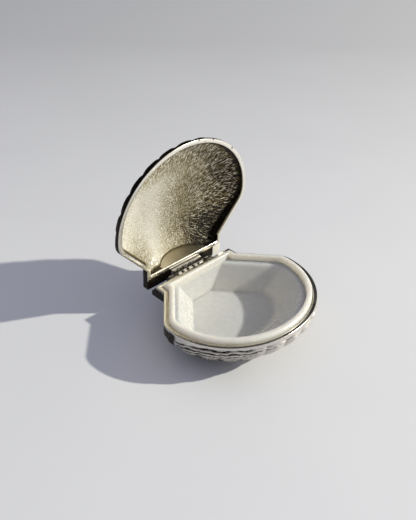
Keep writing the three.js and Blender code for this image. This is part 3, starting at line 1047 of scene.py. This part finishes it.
def painted_light_strip(colours):
    """Pale, pitted plate at the right end of the lid's back strip: painted light where the key
    light reaches it.
    """
    finish = Finish("painted_light_strip", 0.2, 0.5)
    height, _ = finish.cast_skin(1700.0)
    pit_noise = noise_value(finish.tree, finish.place, 1100.0, detail=3.0, place=(-1000, 300))
    pits = mapped(finish.tree, pit_noise, 0.66, 0.76, 0.0, 0.8, (-750, 300))
    colour = finish.mix_colour(pits, colours.cast, colours.patina)
    return finish.wire(Base_Color=colour, Normal=finish.bump(height, 0.07 * MM))


def liner_plastic(colours):
    """Glossy white plastic, faintly wavy and a little translucent."""
    finish = Finish("liner_plastic", 0.0, 0.26, IOR=1.49, Subsurface_Weight=1.0,
                    Subsurface_Scale=0.006, Subsurface_Radius=(1.0, 0.9, 0.75))
    tree = finish.tree
    wave = noise_value(tree, finish.place, 130.0, detail=1.0, place=(-1000, -200))
    haze = noise_value(tree, finish.place, 420.0, detail=3.0, place=(-1000, 200))
    yellowed = mapped(tree, haze, 0.35, 0.75, 0.0, 0.35, (-750, 200))
    ageing = (0.97, 0.95, 0.90)
    aged = tuple(channel * share for channel, share in zip(colours.plastic, ageing))
    colour = finish.mix_colour(yellowed, colours.plastic, aged)
    roughness = mapped(tree, haze, 0.3, 0.7, 0.2, 0.34, (-600, -100))
    normal = finish.bump(wave, 0.12 * MM)
    return finish.wire(Base_Color=colour, Roughness=roughness, Normal=normal)


def pin_steel(colours):
    """Bright drawn wire of the hinge pin."""
    finish = Finish("pin_steel", 1.0, 0.25)
    height, tone = finish.cast_skin(3000.0)
    dull = mapped(finish.tree, tone, 0.4, 0.7, 0.0, 0.6, (-700, 200))
    colour = finish.mix_colour(dull, colours.plate, colours.patina)
    return finish.wire(Base_Color=colour, Normal=finish.bump(height, 0.015 * MM))


def floor_paper(colours):
    """Plain pale paper, with painted shade that darkens it a little toward the back."""
    finish = Finish("floor_paper", 0.0, 0.62)
    tree = finish.tree
    mottle = noise_value(tree, finish.place, 14.0, detail=3.0, place=(-1000, 200))
    shade = mapped(tree, mottle, 0.3, 0.7, 0.0, 0.08, (-750, 200))
    # Painted shade: the colour darkens toward the back, standing in for the light falling off.
    away = (0.70, 0.71, 0)
    how_far = add_node(tree, "ShaderNodeVectorMath", (-1000, -100), operation="DOT_PRODUCT")
    tree.links.new(finish.place, how_far.inputs[0])
    how_far.inputs[1].default_value = away
    fading = mapped(tree, how_far.outputs["Value"], 0.04, 0.40, 0.0, 1.0, (-750, -100))
    shade = combined(tree, "ADD", shade, fading, (-600, 0), clamp=True)
    darkening = 0.72
    falloff_shade = tuple(channel * darkening for channel in colours.floor)
    return finish.wire(Base_Color=finish.mix_colour(shade, colours.floor, falloff_shade))


# Operators

class SHELLBOX_OT_stage(bpy.types.Operator):
    """Add the camera, the floor and the lights"""

    bl_idname = "shellbox.stage"
    bl_label = "Stage"

    def execute(self, context):
        settings = context.scene.shell_stage
        self.add_camera(context, settings)
        self.add_floor(context)
        self.add_lights(context, settings)
        context.scene.view_settings.view_transform = "Standard"
        return {"FINISHED"}

    def add_camera(self, context, settings):
        place = Vector((-167.6, -177.55, 174.6)) * MM
        right = Vector((0.71798, -0.69588, 0.01595))
        up = Vector((0.38963, 0.42078, 0.81923))
        back = right.cross(up)
        pose = Matrix((right, up, back)).transposed().to_4x4()
        pose.translation = TO_OBJECT @ place
        data = bpy.data.cameras.new("camera")
        data.sensor_fit = "VERTICAL"
        data.sensor_height = 36
        data.lens = settings.lens
        data.clip_start = 5 * MM
        camera = bpy.data.objects.new("camera", data)
        camera.matrix_world = pose
        context.scene.collection.objects.link(camera)
        context.scene.camera = camera

    def add_floor(self, context):
        half = 1.6
        cells = 8
        work = bmesh.new()
        bmesh.ops.create_grid(work, x_segments=cells, y_segments=cells, size=half)
        mesh = bpy.data.meshes.new("floor")
        work.to_mesh(mesh)
        work.free()
        mesh.materials.append(floor_paper(context.scene.shell_colours))
        floor = add_object("floor", mesh)

    def add_lights(self, context, settings):
        self.add_key(context, settings)
        world = bpy.data.worlds.new("room")
        world.use_nodes = True
        tree = world.node_tree
        path = add_node(tree, "ShaderNodeLightPath", (-900, 200))
        light = self.chosen(
            tree, path.outputs["Is Diffuse Ray"], settings.surround, settings.dome, (-600, 0))
        colour = self.chosen(
            tree, path.outputs["Is Camera Ray"], light, settings.backdrop, (-300, 0))
        tree.links.new(colour, tree.nodes["Background"].inputs["Color"])
        context.scene.world = world

    def chosen(self, tree, factor, usual, special, place):
        """The usual colour, or the special one for rays of the given kind."""
        node = add_node(tree, "ShaderNodeMix", place, data_type="RGBA")
        tree.links.new(factor, node.inputs[0])
        if hasattr(usual, "links"):
            tree.links.new(usual, node.inputs[6])
        else:
            node.inputs[6].default_value = (*usual, 1)
        node.inputs[7].default_value = (*special, 1)
        return node.outputs[2]

    def add_key(self, context, settings):
        aim = Vector((0, 0, 20 * MM))
        way = Vector((0.644, -0.589, 0.488))
        distance = 2.0
        data = bpy.data.lights.new("key", "AREA")
        data.shape = "DISK"
        data.size = 0.05
        data.energy = settings.key_energy
        data.color = settings.key_colour
        key = bpy.data.objects.new("key", data)
        key.location = aim + way * distance
        key.visible_camera = False
        key.rotation_euler = (-way).to_track_quat("-Z", "Y").to_euler()
        context.scene.collection.objects.link(key)


class SHELLBOX_OT_base(bpy.types.Operator):
    """Build the carved base with its rim and the two outer knuckles"""

    bl_idname = "shellbox.base"
    bl_label = "Base"

    def execute(self, context):
        carved, rim_slot, satin = range(3)
        valve = BASE
        rows, cavity = carved_rows(valve, outline(hinge=-valve.back_y))
        rim = rim_loops(valve)
        wall = [
            at_height(even_outline(valve.rim), depth)
            for depth in np.linspace(0.6, SHELF_DEPTH / MM, 3) * MM
        ]
        mouth = even_outline(SHELF_INSET)
        wall.append(at_height(mouth, SHELF_DEPTH))
        dome = dome_rows(valve, mouth, 14, SHELF_DEPTH + 0.2 * MM)
        loops = [*rows, *rim, *wall, *dome]
        deep = np.zeros((len(loops), len(mouth)))
        deep[:len(rows)] = cavity
        band = np.array(rim[:BAND_ROWS])
        # Painted shade and tarnish on the ears, carried into the band under the rim.
        deep[len(rows):len(rows) + BAND_ROWS] = sides_tarnish_and_shade(band[..., 0], band[..., 1])
        slots = [carved] * (len(rows) + BAND_ROWS)
        slots += [rim_slot] * (len(rim) - BAND_ROWS)
        slots += [satin] * (len(loops) - 1 - len(slots))
        mesh = mesh_from_loops("shell_base", loops, *middle_tips(valve), slots, {"cavity": deep})
        flip_over(mesh)
        cut_off(mesh, (0, 0, 0), (0, BEVEL_DROP, valve.back_y))
        piece = add_object("shell_base", mesh)
        self.add_knuckles(piece)
        mesh = piece.data
        mesh.transform(TO_OBJECT)
        colours = context.scene.shell_colours
        finish_piece(piece, [carved_plate(colours), rim_plate(colours), satin_plate(colours)])
        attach(piece, "base")
        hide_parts("base_shell")
        return {"FINISHED"}

    def add_knuckles(self, piece):
        swing = BARREL_RADIUS + HINGE_GAP
        room = rod("barrel_room", swing, -LUG_FROM, LUG_FROM)
        join_or_cut(piece, room, "DIFFERENCE")
        slot = prism("arm_room", [
            (HINGE_Y - swing, HINGE_Z), (HINGE_Y + swing, HINGE_Z),
            (HINGE_Y + swing, PAST), (HINGE_Y - swing, PAST),
        ], -LUG_FROM, LUG_FROM)
        join_or_cut(piece, slot, "DIFFERENCE")
        section = [
            (0, -ARM_SINK), (HINGE_Y, HINGE_Z + BARREL_RADIUS),
            (HINGE_Y, HINGE_Z - BARREL_RADIUS), (-ARM_SINK, HINGE_Z - BARREL_RADIUS),
        ]
        for x0 in (-LUG_FROM - LUG_WIDTH, LUG_FROM):
            add_arm(piece, section, x0, x0 + LUG_WIDTH)
            add_barrel(piece, x0, x0 + LUG_WIDTH)


class SHELLBOX_OT_lid(bpy.types.Operator):
    """Build the carved lid, brushed inside, with the middle knuckle"""

    bl_idname = "shellbox.lid"
    bl_label = "Lid"

    def execute(self, context):
        carved, rim_slot, satin, brushed, dark, cast = range(6)
        valve = LID
        rows, cavity = carved_rows(valve, outline(hinge=-valve.back_y))
        rim = rim_loops(valve)
        mouth = even_outline(valve.rim)
        dome = dome_rows(valve, mouth, 62, 0.25 * MM)
        lip_height = rim[-1][0, 2]
        wall = [
            at_height(mouth, lip_height + (dome[0][:, 2] - lip_height) * share)
            for share in np.linspace(0, 1, 8)[1:-1]
        ]
        loops = np.array([*rows, *rim, *wall, *dome])
        deep = np.zeros(loops.shape[:2])
        deep[:len(rows)] = cavity
        # Painted shade: toward the rim the carved rows fade to black, and the band under the rim is
        # black, where the lid's outside lies in shade and mirrors a dark room.
        dark_rows = 15
        black = 3.0
        painted_edge_shade = np.linspace(0, black, dark_rows)[:, None]
        edge_rows = slice(len(rows) - dark_rows, len(rows))
        deep[edge_rows] = np.maximum(deep[edge_rows], painted_edge_shade)
        deep[len(rows):len(rows) + BAND_ROWS + 1] = black
        # Painted shade in the wall of the hollow, fading out into the dome.
        wall_from = len(rows) + len(rim)
        wall_shade = np.concatenate([np.ones(len(wall) + 1), [0.9, 0.6, 0.3]])
        deep[wall_from:wall_from + len(wall_shade)] = wall_shade[:, None]
        slots = [carved] * (len(rows) + BAND_ROWS)
        slots += [rim_slot] * (len(rim) - BAND_ROWS)
        slots += [satin] * len(wall)
        slots += [brushed] * (len(loops) - 1 - len(slots))
        brush, outer = self.brush_marks(loops)
        mesh = mesh_from_loops("shell_lid", loops, *middle_tips(valve), slots, {
            "cavity": deep,
            "brush": brush,
            "outer": outer,
            "tarnish": self.painted_lid_shade(loops),
            "speck": self.rim_specks(loops),
        })
        self.sort_faces(mesh, rim_slot, satin, brushed, dark, cast)
        piece = add_object("shell_lid", mesh)
        self.add_knuckle(piece)
        piece.data.transform(open_lid())
        colours = context.scene.shell_colours
        finish_piece(piece, [
            carved_plate(colours), rim_plate(colours), satin_plate(colours),
            brushed_plate(colours), painted_shade_strip(colours), painted_light_strip(colours),
        ])
        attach(piece, "lid")
        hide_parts("lid_shell")
        return {"FINISHED"}

    def brush_marks(self, loops):
        """Where each point lies on the brushing, and how far it is out from the middle."""
        strokes_per_turn = 72
        stroke_length = 1.7 * MM
        centre_y = -15 * MM
        x = loops[..., 0]
        y = loops[..., 1] - centre_y
        turn = np.arctan2(x, y)
        reach = np.hypot(x, y)
        brush = np.stack([
            strokes_per_turn * np.cos(turn), strokes_per_turn * np.sin(turn), reach / stroke_length
        ], axis=-1)
        rightward = 0.75 * smooth_step(x, -2 * MM, 14 * MM)
        return brush, np.maximum(smooth_step(reach, 20 * MM, 34 * MM), rightward)

    def rim_specks(self, loops):
        """The dark casting pits on the front of the rim."""
        size = 0.42 * MM
        strength = 1.3
        rim_height = 0.3 * MM
        specks = np.zeros(loops.shape[:2])
        for x, y in RIM_SPECKS:
            away = np.hypot(loops[..., 0] - x, loops[..., 1] - y)
            specks = np.maximum(specks, strength * np.exp(-(away / size) ** 2))
        return specks * (np.abs(loops[..., 2]) < rim_height)

    def painted_lid_shade(self, loops):
        """Painted shade inside the lid, carried as a depth of tarnish.

        It is least at the lower left, where the key light falls, and deepest at the lower right,
        which lies in shade.
        """
        x = loops[..., 0]
        y = loops[..., 1]
        up = smooth_step(-y, 26 * MM, 48 * MM)
        across = smooth_step(x, -10 * MM, 12 * MM) * (1 - 0.75 * up)
        top = 0.45 * smooth_step(-y, 34 * MM, 48 * MM)
        right = 1.1 * smooth_step(x, 14 * MM, 28 * MM)
        low = smooth_step(y, -20 * MM, -7 * MM)
        corner = 4.8 * smooth_step(x, 4 * MM, 19 * MM) * low
        left = 0.5 * smooth_step(-x, 10 * MM, 22 * MM) * low
        return across + top + right + corner + left

    def sort_faces(self, mesh, rim_slot, satin, brushed, dark, cast):
        """Paints the strip behind the hinge edge as shade: black up to near its right end, and pale
        beyond it as painted light.

        Inside, it keeps the satin to the plain wall at the hinge.
        """
        wall_y = -LID.rim - 0.1 * MM
        strip_from = 0.01 * MM
        # Painted shade left of this point, painted light right of it.
        shaded_to = 17 * MM
        satin_half = 0.93 * ARCH_HALF
        for face in mesh.polygons:
            x, y, _ = face.center
            if face.material_index == rim_slot and y > strip_from:
                face.material_index = dark if x < shaded_to else cast
            elif face.material_index == satin and (y < wall_y or abs(x) > satin_half):
                face.material_index = brushed

    def add_knuckle(self, piece):
        section = [
            (ARM_SINK, ARM_SINK), (HINGE_Y - BARREL_RADIUS, HINGE_Z),
            (HINGE_Y + BARREL_RADIUS, HINGE_Z), (LID.back_y - ARM_SINK, ARM_SINK),
        ]
        add_arm(piece, section, -LID_BARREL_HALF, LID_BARREL_HALF)
        add_barrel(piece, -LID_BARREL_HALF, LID_BARREL_HALF)


class SHELLBOX_OT_liner(bpy.types.Operator):
    """Build the white liner with its lip, ledge and well"""

    bl_idname = "shellbox.liner"
    bl_label = "Liner"

    def execute(self, context):
        loops = self.liner_loops()
        under = (0, MID_Y, float(loops[0][0, 2]))
        floor = (0, MID_Y, float(loops[-1][0, 2]))
        mesh = mesh_from_loops("liner_tray", loops, under, floor, [0] * (len(loops) - 1), {})
        mesh.transform(TO_OBJECT)
        piece = add_object("liner_tray", mesh)
        finish_piece(piece, [liner_plastic(context.scene.shell_colours)], sharp_degrees=60)
        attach(piece, "base")
        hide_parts("liner")
        return {"FINISHED"}

    def liner_loops(self):
        """Loops from under the floor, up the outside, over the lip and down into the well."""
        top = 1.8 * MM
        lip_outer = 2.1 * MM
        lip_inner = 4.5 * MM
        lip_slope = 1.5 * MM
        lip_drop = 1.2 * MM
        lip_round = 0.45 * MM
        flange_z = -1.9 * MM
        ledge_z = -1.2 * MM
        ledge_round = 0.35 * MM
        floor_z = -13.1 * MM
        wall = 1.1 * MM
        under_z = floor_z - wall
        well = dict(hinge=4.7 * MM, side=6.6 * MM, front=6.6 * MM, flank=6.6 * MM)
        floor = dict(hinge=5 * MM, side=12.3 * MM, front=19.4 * MM, flank=15.6 * MM)
        rounds = dict(back_round=1.2 * MM, neck_round=0.4 * MM, corner_round=3 * MM)
        inward = (0.9, 0.6, 0.25)

        def lip(inset, height):
            return at_height(even_outline(inset, corner_round=2 * MM), height)

        def tray(share, height, outward=0.0):
            """A loop of the well, from its mouth at share 0 to its floor at share 1."""
            insets = {
                key: well[key] + (floor[key] - well[key]) * share - outward for key in well
            }
            return at_height(outline(eared=False, **insets, **rounds), height)

        def quarter(steps):
            """A quarter round as pairs: how far it has come out, and how far it has still to go."""
            turns = np.linspace(0, math.pi / 2, steps + 1)[1:]
            return [(1 - math.cos(t), 1 - math.sin(t)) for t in turns]

        under = tray(1, 0, wall)[:, :2]
        loops = [at_height(toward_middle(under, share), under_z) for share in inward[::-1]]
        for share in np.linspace(0, 1, 6):
            loops.append(tray(1 - share, under_z + (flange_z - under_z) * share, wall))
        for height in np.linspace(flange_z, top - lip_drop, 6):
            loops.append(lip(lip_outer, height))
        for out, left in quarter(8):
            loops.append(lip(lip_outer + lip_slope * out, top - lip_drop * left))
        for out, left in quarter(6):
            loops.append(lip(lip_inner - lip_round * left, top - lip_round * out))
        for height in np.linspace(top - lip_round, ledge_z + ledge_round, 6)[1:]:
            loops.append(lip(lip_inner, height))
        for out, left in quarter(4):
            loops.append(lip(lip_inner + ledge_round * out, ledge_z + ledge_round * left))

        edge = 0.045
        edge_drop = 0.06 * MM
        bottom_round = 0.16
        straight = 1 - bottom_round
        depth = floor_z - ledge_z
        loops.append(tray(-edge, ledge_z))
        loops.append(tray(0, ledge_z - edge_drop))
        for share in np.linspace(0, straight, 9)[1:]:
            loops.append(tray(share, ledge_z + depth * share))
        for out, left in quarter(6):
            down = 1 - left
            share = straight + bottom_round * (0.6 * down + 0.75 * out)
            loops.append(tray(share, ledge_z + depth * (straight + bottom_round * down)))
        last = loops[-1][:, :2]
        loops += [at_height(toward_middle(last, share), floor_z) for share in inward]
        return loops


class SHELLBOX_OT_pin(bpy.types.Operator):
    """Build the hinge pin with its peened ends"""

    bl_idname = "shellbox.pin"
    bl_label = "Hinge pin"

    def execute(self, context):
        half = LUG_FROM + LUG_WIDTH
        dome = 0.12 * MM
        piece = rod("pin_rod", PIN_RADIUS, -half + dome, half - dome, sides=40, dome=dome)
        piece.data.transform(TO_OBJECT)
        finish_piece(piece, [pin_steel(context.scene.shell_colours)])
        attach(piece, "base")
        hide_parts("hinge_pin")
        return {"FINISHED"}


class SHELLBOX_PT_panel(bpy.types.Panel):
    """Buttons that build the box"""

    bl_idname = "SHELLBOX_PT_panel"
    bl_label = "Shell Box"
    bl_space_type = "VIEW_3D"
    bl_region_type = "UI"
    bl_category = "Shell Box"

    def draw(self, context):
        layout = self.layout
        for group in (context.scene.shell_sizes, context.scene.shell_colours,
                      context.scene.shell_stage):
            box = layout.box()
            for key in group.__annotations__:
                box.prop(group, key)
        for operator in OPERATORS:
            layout.operator(operator.bl_idname)


OPERATORS = (
    SHELLBOX_OT_stage, SHELLBOX_OT_base, SHELLBOX_OT_lid, SHELLBOX_OT_liner, SHELLBOX_OT_pin,
)
CLASSES = (ShellSizes, ShellColours, StageSettings, *OPERATORS, SHELLBOX_PT_panel)


def register():
    for cls in CLASSES:
        bpy.utils.register_class(cls)
    bpy.types.Scene.shell_sizes = PointerProperty(type=ShellSizes)
    bpy.types.Scene.shell_colours = PointerProperty(type=ShellColours)
    bpy.types.Scene.shell_stage = PointerProperty(type=StageSettings)


def unregister():
    for name in ("shell_stage", "shell_colours", "shell_sizes"):
        delattr(bpy.types.Scene, name)
    for cls in reversed(CLASSES):
        bpy.utils.unregister_class(cls)


def main():
    register()
    bpy.ops.shellbox.stage()
    bpy.ops.shellbox.base()
    bpy.ops.shellbox.lid()
    bpy.ops.shellbox.liner()
    bpy.ops.shellbox.pin()


if __name__ == "__main__":
    main()
